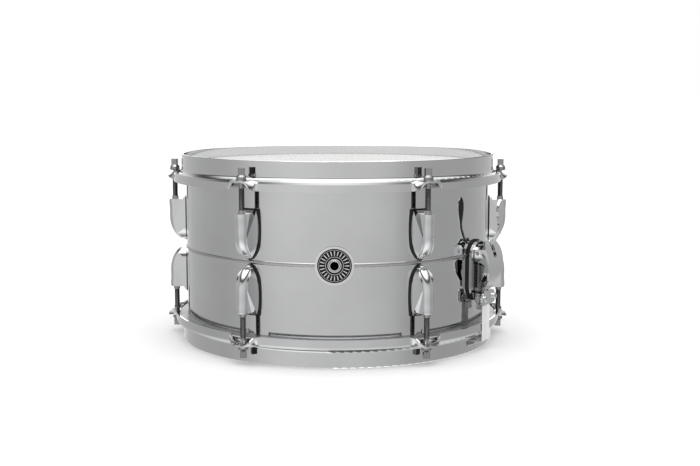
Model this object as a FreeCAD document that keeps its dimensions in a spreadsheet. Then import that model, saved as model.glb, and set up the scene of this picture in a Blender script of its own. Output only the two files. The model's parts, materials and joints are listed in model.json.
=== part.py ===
import FreeCAD, Part
import math
import os
import re

import Sketcher
from FreeCAD import Placement, Rotation, Vector

# A 13 x 7 inch metal-shell snare drum. The drum's axis is +Z and it stands on its lower hoop at z = 0.
# The badge faces -Y. Every lug, rod, ear and fitting is drawn on the +X side of the drum, at its own
# height, and is then turned about Z to its station. Snare-side pieces are batter-side pieces turned
# half a turn about a level line through the middle of the shell.

doc = FreeCAD.newDocument("SnareDrum")

# ---------------------------------------------------------------- driving dimensions (mm, degrees)
DIMENSIONS = {
    "drum_height": 200.0,           # edge of one hoop to edge of the other
    "shell_radius": 165.1,          # 13 inch shell, outside
    "shell_depth": 177.8,           # 7 inch shell, bearing edge to bearing edge
    "shell_wall": 1.2,
    "edge_bend": 1.8,               # outer radius of the rolled bearing edge
    "edge_flange": 5.0,             # length of the inturned flange
    "bead_half": 1.9,               # raised bead round the middle of the shell
    "bead_height": 0.8,
    "film_wall": 0.35,              # drumhead film
    "film_gap": 0.3,                # film to shell
    "flesh_outer": 174.4,           # flesh hoop that carries the film
    "flesh_height": 5.2,
    "hoop_wall": 2.2,
    "hoop_round": 0.8,              # rounding on each side of the playing edge
    "collar_radius": 169.6,         # outside of the hoop's upright collar
    "collar_fillet": 4.0,           # collar to step, on the outside
    "step_depth": 19.0,             # playing edge down to the step's top face
    "skirt_radius": 178.0,          # outside of the down-turned skirt
    "skirt_bend": 2.8,              # outer radius of the bend into the skirt
    "ear_radius": 188.0,            # outer end of an ear
    "ear_fade_angle": 6.0,          # where the ear has become skirt again
    "rod_circle": 179.1,            # rods stand on this radius
    "stations": 6,                  # rods and lugs per head
    "rod_radius": 2.7,
    "rod_length": 50.0,             # below the head's underside
    "rod_flange": 5.1,
    "rod_flange_height": 2.0,
    "rod_neck_height": 2.0,
    "key_size": 6.35,               # quarter-inch square for a drum key
    "key_height": 6.6,
    "key_spread": 12.0,             # degrees, how far the keys differ from square to the front
    "ear_hole": 3.3,
    "washer_radius": 5.45,
    "washer_wall": 1.2,
    "turning_gap": 0.05,            # between a turning face and the face it bears on
    "running_gap": 0.06,            # radial, rod in its threaded insert
    "lug_top": 151.5,               # upper end of a lug's foot
    "lug_barrel_top": 148.7,
    "lug_tip": 103.1,
    "lug_shoulder": 130.0,          # below this the barrel curves in to the shell
    "lug_outer": 185.5,
    "lug_barrel": 6.2,              # half width of the barrel
    "lug_tip_barrel": 3.3,          # half width of the barrel at the tip
    "lug_foot": 10.0,               # half width of the foot
    "gasket_wall": 1.8,
    "gasket_margin": 1.2,
    "insert_radius": 3.95,
    "insert_collar": 3.3,
    "insert_bottom": 124.0,
    "insert_top": 152.3,
    "screw_radius": 1.95,
    "screw_head": 3.9,
    "screw_head_height": 2.8,
    "screw_play": 0.35,             # radial, screw in a clearance hole
    "close_fit": 0.05,              # radial, screw or insert in the part that it holds
    "lug_screw_low": 111.0,
    "lug_screw_high": 141.0,
    "washer_small": 4.8,            # washer under a screw's head, inside the shell
    "washer_thin": 1.0,
    "washer_gap": 0.15,             # washer to shell
    "badge_radius": 18.75,
    "badge_rim": 2.1,
    "badge_base": 166.2,            # clears the bead
    "badge_wall": 1.4,
    "vent_radius": 4.25,
    "vent_collar": 5.9,
    "strainer_angle": 60.0,         # from the badge towards +X
    "butt_angle": 240.0,
    "base_half": 16.5,
    "base_corner": 15.5,
    "base_rim": 1.6,                # wall round the base, and how far it stands up
    "base_rim_height": 2.4,
    "base_bottom": 53.0,
    "base_top": 113.8,
    "base_face": 168.8,
    "clamp_face": 178.1,            # outer face of clamp block and butt block
    "cover_radius": 177.0,          # the cover's front is drawn outward from here
    "pivot_radius": 176.5,          # lever pivot, distance from the drum's axis
    "pivot_height": 103.0,
    "pin_radius": 2.0,
    "cam_radius": 4.9,
    "lever_throw": 60.0,            # degrees, wires on to wires off
    "snare_drop": 2.0,              # how far the lever lets the wires down
    "cam_gap": 0.35,
    "cover_half": 18.8,
    "cover_wall": 1.8,
    "ear_inner": 11.4,              # strainer base ears
    "guide_inner": 8.6,             # carriage guides on the base
    "guide_wall": 1.6,
    "carriage_half": 8.2,
    "arm_half": 2.8,
    "paddle_face": 191.4,
    "paddle_wall": 2.4,
    "clamp_half": 15.5,
    "clamp_wall": 2.5,
    "jaw_waist": 10.5,              # half width at the top of the outer jaw
    "clamp_low": 50.0,
    "clamp_high": 61.0,
    "clamp_core": 6.5,              # half width of the block round the knob's screw
    "jaw_depth": 3.0,               # the wide inner jaw at the front of the block
    "clamp_screw_y": 11.7,
    "clamp_screw_length": 6.0,
    "clamp_dome": 3.5,              # radius of the clamp screws' domed heads
    "clamp_shank": 1.75,
    "knob_axis": 172.9,
    "knob_radius": 4.6,
    "knob_low": 42.5,
    "strap_half": 9.0,
    "strap_wall": 0.5,
    "strap_bend": 2.0,
    "strap_radius": 178.45,         # inner face of the strap's upright run
    "strap_level": 9.55,            # underside where it passes through the hoop
    "gate_low": 6.4,                # snare gate in the lower hoop's collar
    "gate_high": 14.8,
    "gate_half": 24.0,
    "wire_radius": 1.0,
    "wire_level": 9.1,              # centre height of the wires
    "wire_reach": 119.0,            # half length of the wires
    "wire_count": 20,
    "plate_reach": 133.0,
    "plate_half": 25.0,
    "plate_wall": 0.9,
}

dims = doc.addObject("Spreadsheet::Sheet", "dims")
for row, (alias, number) in enumerate(DIMENSIONS.items(), start=1):
    dims.set(f"A{row}", alias)
    dims.set(f"B{row}", str(number))
    dims.setAlias(f"B{row}", alias)
doc.recompute()

SUBPARTS = []                       # the objects that are written, in order

# ---------------------------------------------------------------- places that several pieces use
MIDDLE = "drum_height / 2"
EDGE = f"({MIDDLE} + shell_depth / 2)"
STEP = "(drum_height - step_depth)"
DIAGONAL = math.sqrt(0.5)
WITHIN, BEYOND = "140", "190"       # radii inside and outside everything that stands on the shell
PAD_START = "155"                   # pieces that are hollowed to the shell are padded out from here
GASKET_FACE = "(shell_radius + gasket_wall)"
SCREW_SEAT = "(shell_radius - shell_wall - washer_gap - washer_thin)"
CLAMP_LEVEL = "(clamp_low + clamp_high) / 2"
JAW_FACE = "(strap_radius + strap_wall + 0.35)"
# castings on the shell: half width, bottom, top, corner
BASE_BOX = ("base_half", "base_bottom", "base_top", "base_corner")
BUTT_BOX = ("clamp_half", "clamp_low - 4", "clamp_high + 3", "4")

# mounting screws: tangential offset, height
STRAINER_SCREWS = [("0", "base_bottom + 5"), ("0", "base_top - 5")]
BUTT_SCREWS = [("7", "clamp_low + 4"), ("-7", "clamp_low + 4")]
LUG_SCREWS = [("0", "lug_screw_low"), ("0", "lug_screw_high")]
CLAMP_SCREWS = [("clamp_screw_y", CLAMP_LEVEL), ("-clamp_screw_y", CLAMP_LEVEL)]


# ---------------------------------------------------------------- helpers
def bound(expression):
    """The expression with each dimension's name turned into its cell in the sheet."""
    return re.sub(r"\b([a-z]+(?:_[a-z]+)+|stations)\b", r"dims.\1", str(expression))


def value(expression):
    """The number that an expression has now."""
    return float(dims.evalExpression(bound(expression)))


def bind(feature, property_name, expression):
    feature.setExpression(property_name, bound(expression))


def origin_feature(body, role):
    return next(f for f in body.Origin.OriginFeatures if f.Role == role)


def new_body(name):
    body = doc.addObject("PartDesign::Body", name)
    body.Label = name
    return body


def attached_sketch(body, name, plane, offset="0", turn=0.0):
    """An empty sketch on one of the body's origin planes, turned about Z and moved out along its normal."""
    sketch = body.newObject("Sketcher::SketchObject", f"{body.Name}_{name}")
    sketch.AttachmentSupport = [(origin_feature(body, plane), "")]
    sketch.MapMode = "FlatFace"
    sketch.AttachmentOffset = Placement(Vector(0, 0, 0), Rotation(Vector(0, 1, 0), turn))
    if turn:
        bind(sketch, ".AttachmentOffset.Base.x", f"({offset}) * {math.sin(math.radians(turn))}")
    bind(sketch, ".AttachmentOffset.Base.z", f"({offset}) * {math.cos(math.radians(turn))}")
    return sketch


def place_point(sketch, index, position, x, y):
    """Fixes one end of an edge at x, y, both bound to the sheet."""
    for kind, expression in (("DistanceX", x), ("DistanceY", y)):
        constraint = sketch.addConstraint(
            Sketcher.Constraint(kind, -1, 1, index, position, value(expression)))
        sketch.setExpression(f"Constraints[{constraint}]", bound(expression))


def outline(sketch, points):
    """A closed outline. A point is (x, y), or (x, y, radius) where an arc leads on to the next point.
    A positive radius bulges to the right of the way on, a negative one to the left."""
    first = sketch.GeometryCount
    count = len(points)
    corners = [Vector(value(p[0]), value(p[1]), 0) for p in points]
    for i, point in enumerate(points):
        start, end = corners[i], corners[(i + 1) % count]
        if len(point) == 2:
            sketch.addGeometry(Part.LineSegment(start, end), False)
            continue
        radius = value(point[2])
        chord = end - start
        right = Vector(chord.y, -chord.x, 0).normalize() * math.copysign(1.0, radius)
        rise = abs(radius) - math.sqrt(radius ** 2 - (chord.Length / 2) ** 2)
        middle = (start + end) * 0.5 + right * rise
        sketch.addGeometry(Part.Arc(start, middle, end), False)
    ends = []
    for i, point in enumerate(points):
        # an arc that bulges to the left runs clockwise, so its own first end is the outline's next point
        backwards = len(point) == 3 and value(point[2]) < 0
        ends.append((2, 1) if backwards else (1, 2))
    for i, point in enumerate(points):
        following = (i + 1) % count
        sketch.addConstraint(Sketcher.Constraint(
            "Coincident", first + i, ends[i][1], first + following, ends[following][0]))
    for i, point in enumerate(points):
        place_point(sketch, first + i, ends[i][0], point[0], point[1])
        if len(point) == 3:
            constraint = sketch.addConstraint(
                Sketcher.Constraint("Radius", first + i, abs(value(point[2]))))
            bind(sketch, f"Constraints[{constraint}]", f"abs({point[2]})")


def circle(sketch, x, y, radius):
    index = sketch.addGeometry(Part.Circle(Vector(value(x), value(y), 0), Vector(0, 0, 1), value(radius)))
    place_point(sketch, index, 3, x, y)
    constraint = sketch.addConstraint(Sketcher.Constraint("Radius", index, value(radius)))
    bind(sketch, f"Constraints[{constraint}]", radius)


def profile(body, name, points, plane="XZ_Plane", offset="0", turn=0.0):
    sketch = attached_sketch(body, name, plane, offset, turn)
    outline(sketch, points)
    return sketch


def circles(body, name, rounds, plane="XY_Plane", offset="0"):
    sketch = attached_sketch(body, name, plane, offset)
    for x, y, radius in rounds:
        circle(sketch, x, y, radius)
    return sketch


def pad(body, sketch, length, midplane=False):
    feature = body.newObject("PartDesign::Pad", f"{sketch.Name}_pad")
    feature.Profile = sketch
    feature.Midplane = midplane
    bind(feature, "Length", length)
    return feature


def pocket(body, sketch, length, midplane=False):
    """Cuts the way the sketch faces, or both ways."""
    feature = body.newObject("PartDesign::Pocket", f"{sketch.Name}_pocket")
    feature.Profile = sketch
    feature.Midplane = midplane
    feature.Reversed = not midplane
    bind(feature, "Length", length)
    return feature


def spin(body, sketch, axis="V_Axis", cut=False, angle="360"):
    kind = "PartDesign::Groove" if cut else "PartDesign::Revolution"
    feature = body.newObject(kind, f"{sketch.Name}_spin")
    feature.Profile = sketch
    feature.ReferenceAxis = (sketch, [axis])
    bind(feature, "Angle", angle)
    return feature


def around(body, features, name, count="stations"):
    """Repeats features about the drum's axis."""
    pattern = body.newObject("PartDesign::PolarPattern", f"{body.Name}_{name}")
    pattern.Originals = features
    pattern.Axis = (origin_feature(body, "Z_Axis"), [""])
    pattern.Angle = 360
    bind(pattern, "Occurrences", count)
    body.Tip = pattern
    return pattern


def ring(name, points):
    """A body turned about the drum's axis from an outline of radius and height."""
    body = new_body(name)
    spin(body, profile(body, "section", points))
    return body


def station_turn(angle):
    """Placement that carries a piece drawn on the +X side to an angle counted from the badge to +X."""
    return Placement(Vector(0, 0, 0), Rotation(Vector(0, 0, 1), angle - 90))


def turned_over(placement):
    """The same place on the snare side: half a turn about the level line along X through mid height."""
    over = Placement(Vector(0, 0, value("drum_height")), Rotation(Vector(1, 0, 0), 180))
    return over.multiply(placement)


def clone(source, name):
    """A body of its own that follows the source body's shape."""
    body = new_body(name)
    copy = body.newObject("PartDesign::FeatureBase", f"{name}_clone")
    copy.BaseFeature = source
    return body


def keep(body, placement=None):
    if placement is not None:
        body.Placement = placement
    SUBPARTS.append(body)
    return body


def radial_screw(body, name, level, tip, side="0"):
    """A pan-head screw on a radial line, with its head on a washer inside the shell."""
    sketch = attached_sketch(body, name, "XZ_Plane", f"-({side})")
    bind(sketch, ".AttachmentOffset.Base.y", level)
    outline(sketch, [
        (f"{SCREW_SEAT} - screw_head_height", "0"),
        (tip, "0"),
        (tip, "screw_radius"),
        (SCREW_SEAT, "screw_radius"),
        (SCREW_SEAT, "screw_head"),
        (f"{SCREW_SEAT} - screw_head_height + 1.2", "screw_head"),
        (f"{SCREW_SEAT} - screw_head_height", "screw_head - 1.4"),
    ])
    return spin(body, sketch, "H_Axis")


def radial_holes(body, name, places, radius, start="150", length="50"):
    """Round holes along +X. A place is (tangential offset, height)."""
    rounds = [place + (radius,) for place in places]
    return pocket(body, circles(body, name, rounds, "YZ_Plane", start), length)


def hollow_back(body, radius, name="back"):
    """Cuts a body's back to a radius, so that it follows the shell."""
    spin(body, profile(body, name, [
        (WITHIN, "30"), (radius, "30"), (radius, "160"), (WITHIN, "160")]), cut=True)


def round_front(body, radius, name="front"):
    """Cuts a body's front to a radius."""
    spin(body, profile(body, name, [
        (radius, "30"), (BEYOND, "30"), (BEYOND, "160"), (radius, "160")]), cut=True)


# ---------------------------------------------------------------- shell
def shell_half(side):
    """Corner points of the bearing edge from the outside wall round to the inside wall."""
    level = f"{MIDDLE} + {side} * (shell_depth / 2 - edge_bend)"
    inner_bend = "(edge_bend - shell_wall)"
    axis = "(shell_radius - edge_bend)"
    lift = f"{side} * {DIAGONAL}"
    points = [
        ("shell_radius", level),
        (f"{axis} - edge_bend * {DIAGONAL}", f"{level} + edge_bend * {lift}"),
        (f"{axis} - (edge_bend + edge_flange) * {DIAGONAL}", f"{level} + (edge_bend - edge_flange) * {lift}"),
        (f"{axis} - ({inner_bend} + edge_flange) * {DIAGONAL}",
         f"{level} + ({inner_bend} - edge_flange) * {lift}"),
        (f"{axis} - {inner_bend} * {DIAGONAL}", f"{level} + {inner_bend} * {lift}"),
        ("shell_radius - shell_wall", level),
    ]
    return points


def build_shell():
    bead_bend = "(bead_half * bead_half + bead_height * bead_height) / (2 * bead_height)"
    top, bottom = shell_half(1), shell_half(-1)
    top[0] += ("edge_bend",)
    top[4] += ("-(edge_bend - shell_wall)",)
    bottom[4] += ("-(edge_bend - shell_wall)",)
    bottom[0] += ("edge_bend",)
    inside, outside = "shell_radius - shell_wall", "shell_radius"
    low, high = f"{MIDDLE} - bead_half", f"{MIDDLE} + bead_half"
    points = [(outside, low, bead_bend), (outside, high), *top,
              (inside, high, f"-{bead_bend}"), (inside, low)]
    lower = [
        bottom[5] + ("-(edge_bend - shell_wall)",),
        bottom[4][:2], bottom[3], bottom[2],
        bottom[1] + ("edge_bend",),
        bottom[0][:2],
    ]
    body = ring("shell", points + lower)
    lug_holes = LUG_SCREWS + [(side, f"drum_height - {level}") for side, level in LUG_SCREWS]
    drilled = radial_holes(body, "lug_holes", lug_holes, "screw_radius + screw_play")
    around(body, [drilled], "lug_hole_pattern")
    for name, angle, holes, radius in (
            ("strainer_holes", "strainer_angle", STRAINER_SCREWS, "screw_radius + screw_play"),
            ("butt_holes", "butt_angle", BUTT_SCREWS, "screw_radius + screw_play"),
            ("vent_hole", "0", [("0", MIDDLE)], "vent_radius + 0.75")):
        sketch = attached_sketch(body, name, "XZ_Plane", "150", value(angle))
        for side, level in holes:
            circle(sketch, side, level, radius)
        pocket(body, sketch, "30")
    return keep(body)


# ---------------------------------------------------------------- heads
def build_head(name, flesh_name):
    """Film that lies over the bearing edge and runs down into its flesh hoop."""
    axis = "(shell_radius - edge_bend)"
    level = f"{EDGE} - edge_bend"
    inner = "(edge_bend + film_gap)"
    outer = "(edge_bend + film_gap + film_wall)"
    step = "drum_height - step_depth"
    hem = f"{step} - hoop_wall - flesh_height"
    film = ring(name, [
        ("0", f"{level} + {inner}"),
        (axis, f"{level} + {inner}", f"-{inner}"),
        (f"{axis} + {inner}", level),
        (f"{axis} + {inner}", hem),
        (f"{axis} + {outer}", hem),
        (f"{axis} + {outer}", level, outer),
        (axis, f"{level} + {outer}"),
        ("0", f"{level} + {outer}"),
    ])
    flesh = ring(flesh_name, [
        (f"{axis} + {outer}", hem),
        ("flesh_outer - 1", hem),
        ("flesh_outer", f"{hem} + 1"),
        ("flesh_outer", f"{hem} + flesh_height - 0.8"),
        ("flesh_outer - 0.8", f"{hem} + flesh_height"),
        (f"{axis} + {outer}", f"{hem} + flesh_height"),
    ])
    return film, flesh


# ---------------------------------------------------------------- counter hoops
FLAP_ROOT = "(skirt_radius - skirt_bend)"
# angle from the rod as a share of the fading angle, how far the flap is folded down, its length
EAR_SECTIONS = ((0.0, 0.2, 1.0), (0.38, 0.2, 0.97), (0.53, 18.0, 0.90), (0.68, 50.0, 0.84),
                (0.84, 80.0, 0.79), (1.0, 90.0, 0.773))


def flap_points(fold, length):
    """Section of the sheet beyond the step: bent down by fold degrees, then straight."""
    bend = math.radians(fold)
    middle = "(skirt_bend - hoop_wall / 2)"
    run = f"({middle} * {math.pi / 2})"                # length of the bend along the sheet's middle
    mid_level = f"({STEP} - hoop_wall / 2)"
    points = []
    for side in (0.5, -0.5):
        edge = []
        for share in (0.0, 0.5, 1.0):
            turn = bend * share
            out = math.sin(turn) / bend if bend else share
            down = (1 - math.cos(turn)) / bend if bend else 0
            edge.append((f"{FLAP_ROOT} + {run} * {out} + {side * math.sin(turn)} * hoop_wall",
                         f"{mid_level} - {run} * {down} + {side * math.cos(turn)} * hoop_wall"))
        straight = f"((ear_radius - {FLAP_ROOT}) * {length} - {run})"
        edge.append((f"{edge[-1][0]} + {straight} * {math.cos(bend)}",
                     f"{edge[-1][1]} - {straight} * {math.sin(bend)}"))
        points.append(edge)
    return points[0] + points[1][::-1]


def build_hoop(name):
    body = new_body(name)
    inside = "(collar_radius - hoop_wall)"
    fold_in = "collar_fillet + hoop_wall"
    spin(body, profile(body, "collar", [
        ("collar_radius", "drum_height - hoop_round"),
        ("collar_radius", f"{STEP} + collar_fillet", "collar_fillet"),
        ("collar_radius + collar_fillet", STEP),
        (FLAP_ROOT, STEP),
        (FLAP_ROOT, f"{STEP} - hoop_wall"),
        ("collar_radius + collar_fillet", f"{STEP} - hoop_wall", f"-({fold_in})"),
        (inside, f"{STEP} + collar_fillet"),
        (inside, "drum_height - hoop_round", "-hoop_round"),
        (f"{inside} + hoop_round", "drum_height"),
        ("collar_radius - hoop_round", "drum_height", "-hoop_round"),
    ]))
    _, fold, length = EAR_SECTIONS[-1]
    skirt = profile(body, "skirt", flap_points(fold, length), turn=value("ear_fade_angle"))
    skirt_turn = spin(body, skirt, angle="360 / stations - 2 * ear_fade_angle")
    sections = []
    for side in (-1, 1):
        for share, fold, length in EAR_SECTIONS[::side]:
            if side == 1 and share == 0.0:
                continue
            turn = side * share * value("ear_fade_angle")
            label = f"ear_{'left' if side < 0 else 'right'}_{round(share * 100)}"
            sections.append(profile(body, label, flap_points(fold, length), turn=turn))
    ear = body.newObject("PartDesign::AdditiveLoft", f"{name}_ear")
    ear.Profile = sections[0]
    ear.Sections = sections[1:]
    around(body, [skirt_turn, ear], "outer_pattern")
    hole = pocket(body, circles(body, "rod_hole", [("rod_circle", "0", "ear_hole")],
                                offset=f"{STEP} - 10"), "20")
    around(body, [hole], "rod_hole_pattern")
    return body


def cut_gates(hoop):
    """Two windows in the collar, one for each snare strap. The hoop is still drawn batter side up."""
    low, high = "drum_height - gate_high", "drum_height - gate_low"
    for name, angle in (("strainer_gate", "180 - strainer_angle"), ("butt_gate", "180 - butt_angle")):
        window = profile(hoop, name, [
            ("-gate_half", low), ("gate_half", low), ("gate_half", high), ("-gate_half", high)],
            offset="150", turn=value(angle))
        pocket(hoop, window, "22")


# ---------------------------------------------------------------- tension rods
ROD_SEAT = f"{STEP} + washer_wall + turning_gap"
KEY_STEP = 2.4                      # radians from one rod's turn to the next


def build_rod(name):
    body = new_body(name)
    sketch = attached_sketch(body, "turned", "XZ_Plane")
    bind(sketch, ".AttachmentOffset.Base.x", "rod_circle")
    neck = f"{ROD_SEAT} + rod_flange_height"
    top = f"{neck} + rod_neck_height"
    outline(sketch, [
        ("0", f"{ROD_SEAT} - rod_length"),
        ("rod_radius - 0.8", f"{ROD_SEAT} - rod_length"),
        ("rod_radius", f"{ROD_SEAT} - rod_length + 0.8"),
        ("rod_radius", ROD_SEAT),
        ("rod_flange", ROD_SEAT),
        ("rod_flange", neck),
        ("rod_flange - 1.4", top),
        ("0", top),
    ])
    spin(body, sketch)
    half, soft = "key_size / 2", "0.7"
    key = profile(body, "key", [
        (f"rod_circle - {half} + {soft}", f"-{half}"),
        (f"rod_circle + {half} - {soft}", f"-{half}", soft),
        (f"rod_circle + {half}", f"-{half} + {soft}"),
        (f"rod_circle + {half}", f"{half} - {soft}", soft),
        (f"rod_circle + {half} - {soft}", half),
        (f"rod_circle - {half} + {soft}", half, soft),
        (f"rod_circle - {half}", f"{half} - {soft}"),
        (f"rod_circle - {half}", f"-{half} + {soft}", soft),
    ], "XY_Plane", neck)
    pad(body, key, "rod_neck_height + key_height")
    return body


def key_turn(angle, index):
    """Rods stop wherever the tuning leaves them, most of them near square to the drum's front."""
    turn = value("key_spread") * math.sin(KEY_STEP * index) - (angle - 90)
    axis = Vector(value("rod_circle"), 0, 0)
    return Placement(Vector(0, 0, 0), Rotation(Vector(0, 0, 1), turn), axis)


def build_rod_washers(name):
    body = new_body(name)
    sketch = circles(body, "washer", [("rod_circle", "0", "washer_radius"),
                                      ("rod_circle", "0", "rod_radius + screw_play")], offset=STEP)
    around(body, [pad(body, sketch, "washer_wall")], "pattern")
    return body


# ---------------------------------------------------------------- lugs
def foot_outline(margin="0"):
    """The lug's foot seen from outside: flat top, sides that bulge a little, teardrop tip."""
    top, root = f"lug_top + {margin}", "lug_tip + 1.6"
    corner, side, nose = f"lug_foot - 0.7 + {margin}", f"lug_foot - 0.2 + {margin}", f"3.4 + {margin}"
    return [
        (f"-({corner})", top, "150"),
        (f"-({side})", "lug_tip + 16", "24"),
        (f"-({nose})", root, f"4.2 + {margin}"),
        (nose, root, "24"),
        (side, "lug_tip + 16", "150"),
        (corner, top),
    ]


def build_lug(name):
    """A cast lug: half-round barrel round the rod, sloping wings down to a teardrop foot."""
    body = new_body(name)
    back = GASKET_FACE
    wing = "lug_outer - 5"
    pad(body, profile(body, "foot", foot_outline(), "YZ_Plane", "160"), f"{wing} - 160")
    slopes = attached_sketch(body, "slopes", "XY_Plane", "90")
    for side in (1, -1):
        corners = [(back, f"{side} * lug_foot"), ("200", f"{side} * (lug_barrel - 4)"),
                   ("200", f"{side} * 15"), (back, f"{side} * 15")]
        outline(slopes, corners[::side])
    pocket(body, slopes, "80")
    flank = profile(body, "flank", [
        (f"{back} + 1.5", "lug_top + 5"),
        (f"{back} + 1.5", "lug_top"),
        (f"{wing} + 0.5", "lug_shoulder - 5", "-26"),
        (back, "lug_tip"),
        (back, "lug_tip - 10"),
        ("210", "lug_tip - 10"),
        ("210", "lug_top + 5"),
    ])
    pocket(body, flank, "60", midplane=True)
    barrel = []
    for index, share in enumerate((-0.72, -0.36, 0.0, 0.25, 0.48, 0.68, 0.84, 0.93)):
        reach = math.sqrt(1 - max(share, 0.0) ** 2)
        below = "(lug_shoulder - lug_tip)" if share > 0 else "(lug_barrel_top - lug_shoulder) / 0.72"
        half = f"(lug_tip_barrel + (lug_barrel - lug_tip_barrel) * {math.sqrt(1 - max(share, 0.0) ** 1.6)})"
        nose = f"({back} + (lug_outer - {back}) * {reach})"
        barrel.append(profile(body, f"barrel_{index}", [
            ("160", f"-{half}"),
            (f"{nose} - {half}", f"-{half}", half),
            (nose, "0", half),
            (f"{nose} - {half}", half),
            ("160", half),
        ], "XY_Plane", f"lug_shoulder - {share} * {below}"))
    loft = body.newObject("PartDesign::AdditiveLoft", f"{name}_barrel")
    loft.Profile = barrel[0]
    loft.Sections = barrel[1:]
    hollow_back(body, back)
    bore = circles(body, "bore", [("rod_circle", "0", "insert_radius + close_fit")],
                   offset="insert_bottom - 1")
    pocket(body, bore, "50")
    radial_holes(body, "screw_holes", LUG_SCREWS, "screw_radius + close_fit", length=f"{back} + 7.3 - 150")
    return body


def build_insert(name):
    """Threaded nut that the rod screws into, shown with a plain bore."""
    body = new_body(name)
    sketch = attached_sketch(body, "turned", "XZ_Plane")
    bind(sketch, ".AttachmentOffset.Base.x", "rod_circle")
    bore = "rod_radius + running_gap"
    outline(sketch, [
        (bore, "insert_bottom"),
        ("insert_radius", "insert_bottom"),
        ("insert_radius", "lug_barrel_top"),
        ("insert_collar + 0.4", "lug_barrel_top"),
        ("insert_collar", "insert_top"),
        (bore, "insert_top"),
    ])
    spin(body, sketch)
    return body


# ---------------------------------------------------------------- groups
def both_sides(name, source):
    """One node that holds a batter-side group and the same group turned over to the snare side."""
    group = doc.addObject("Part::Feature", name)
    group.Label = name
    shapes = [source.Shape.copy(), source.Shape.copy()]
    shapes[1].Placement = turned_over(shapes[1].Placement)
    group.Shape = Part.makeCompound([solid for shape in shapes for solid in shape.Solids])
    return keep(group)


def build_lug_gaskets():
    body = new_body("lug_gasket")
    pad(body, profile(body, "pad", foot_outline("gasket_margin"), "YZ_Plane", PAD_START), "20")
    round_front(body, GASKET_FACE)
    hollow_back(body, "shell_radius")
    radial_holes(body, "screw_holes", LUG_SCREWS, "screw_radius + screw_play")
    return body


def repeated(name, source):
    """The solids of a body, once at each station."""
    row = doc.addObject("Part::Feature", f"{name}_stations")
    count = int(value("stations"))
    shapes = []
    for index in range(count):
        shape = source.Shape.copy()
        shape.Placement = station_turn(90 + 360 / count * index).multiply(shape.Placement)
        shapes.extend(shape.Solids)
    row.Shape = Part.makeCompound(shapes)
    return row


def build_lug_screws():
    body = new_body("lug_screw_pair")
    for index, (_, level) in enumerate(LUG_SCREWS):
        radial_screw(body, f"screw_{index}", level, f"{GASKET_FACE} + 7")
    return body


def build_screw_washers():
    body = new_body("lug_washer_pair")
    rounds = []
    for place in LUG_SCREWS:
        rounds += [place + ("washer_small",), place + ("screw_radius + 0.15",)]
    pad(body, circles(body, "washers", rounds, "YZ_Plane", SCREW_SEAT), "washer_thin")
    return body


# ---------------------------------------------------------------- badge and vent
def build_badge():
    """A round badge bent to the shell, with a raised rim and a hole for the vent."""
    body = new_body("badge")
    face = "badge_base + badge_wall"
    pad(body, circles(body, "disc", [("0", MIDDLE, "badge_radius")], "YZ_Plane", PAD_START), "20")
    round_front(body, f"{face} + 0.5")
    hollow_back(body, "badge_base")
    field = new_body("badge_field")
    inner = [("0", MIDDLE, "badge_radius - badge_rim")]
    pad(field, circles(field, "disc", inner, "YZ_Plane", PAD_START), "20")
    hollow_back(field, face)
    sunk = doc.addObject("Part::Cut", "badge_sunk")
    sunk.Base, sunk.Tool = body, field
    hole = doc.addObject("Part::Cylinder", "badge_hole")
    bind(hole, "Radius", "vent_radius + 0.85")
    hole.Height = 40
    hole.Placement = Placement(Vector(150, 0, value(MIDDLE)), Rotation(Vector(0, 1, 0), 90))
    badge = doc.addObject("Part::Cut", "badge_plate")
    badge.Base, badge.Tool = sunk, hole
    body.Label = "badge_blank"
    badge.Label = "badge"
    return keep(badge, station_turn(0))


def build_vent():
    """Tubular grommet through shell and badge, with a flange at each end."""
    body = new_body("vent_grommet")
    sketch = attached_sketch(body, "turned", "XZ_Plane")
    bind(sketch, ".AttachmentOffset.Base.y", MIDDLE)
    inside = "shell_radius - shell_wall - 0.2"
    face = "badge_base + badge_wall"
    wall = "vent_radius + 0.65"
    outline(sketch, [
        (f"{inside} - 1", "vent_radius"),
        (f"{face} + 1.1", "vent_radius"),
        (f"{face} + 1.1", "vent_collar - 0.7"),
        (f"{face} + 0.1", "vent_collar"),
        (f"{face} + 0.1", wall),
        (inside, wall),
        (inside, "vent_collar + 0.4"),
        (f"{inside} - 1", "vent_collar + 0.4"),
    ])
    spin(body, sketch, "H_Axis")
    return keep(body, station_turn(0))


# ---------------------------------------------------------------- fittings that stand on the shell
def rounded_box(half, low, high, corner):
    """A rounded rectangle of tangential width and height."""
    return [
        (f"-({half}) + {corner}", low),
        (f"{half} - {corner}", low, corner),
        (half, f"{low} + {corner}"),
        (half, f"{high} - {corner}", corner),
        (f"{half} - {corner}", high),
        (f"-({half}) + {corner}", high, corner),
        (f"-({half})", f"{high} - {corner}"),
        (f"-({half})", f"{low} + {corner}", corner),
    ]


def build_shell_gasket(name, half, low, high, corner, holes):
    """A rubber pad a little larger than the casting on it, relieved where it crosses the bead."""
    body = new_body(name)
    larger = rounded_box(f"{half} + gasket_margin", f"{low} - gasket_margin", f"{high} + gasket_margin",
                         f"{corner} + gasket_margin")
    pad(body, profile(body, "pad", larger, "YZ_Plane", PAD_START), "20")
    round_front(body, GASKET_FACE)
    hollow_back(body, "shell_radius")
    if value(high) > value(MIDDLE):
        relief = "shell_radius + bead_height + close_fit"
        below, above = f"{MIDDLE} - bead_half - 0.3", f"{MIDDLE} + bead_half + 0.3"
        spin(body, profile(body, "bead_relief", [
            (WITHIN, below), (relief, below), (relief, above), (WITHIN, above)]), cut=True)
    radial_holes(body, "screw_holes", holes, "screw_radius + screw_play")
    return body


def build_mounting_screws(name, holes, tip):
    body = new_body(name)
    for index, (side, level) in enumerate(holes):
        radial_screw(body, f"screw_{index}", level, tip, side)
    return body


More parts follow.
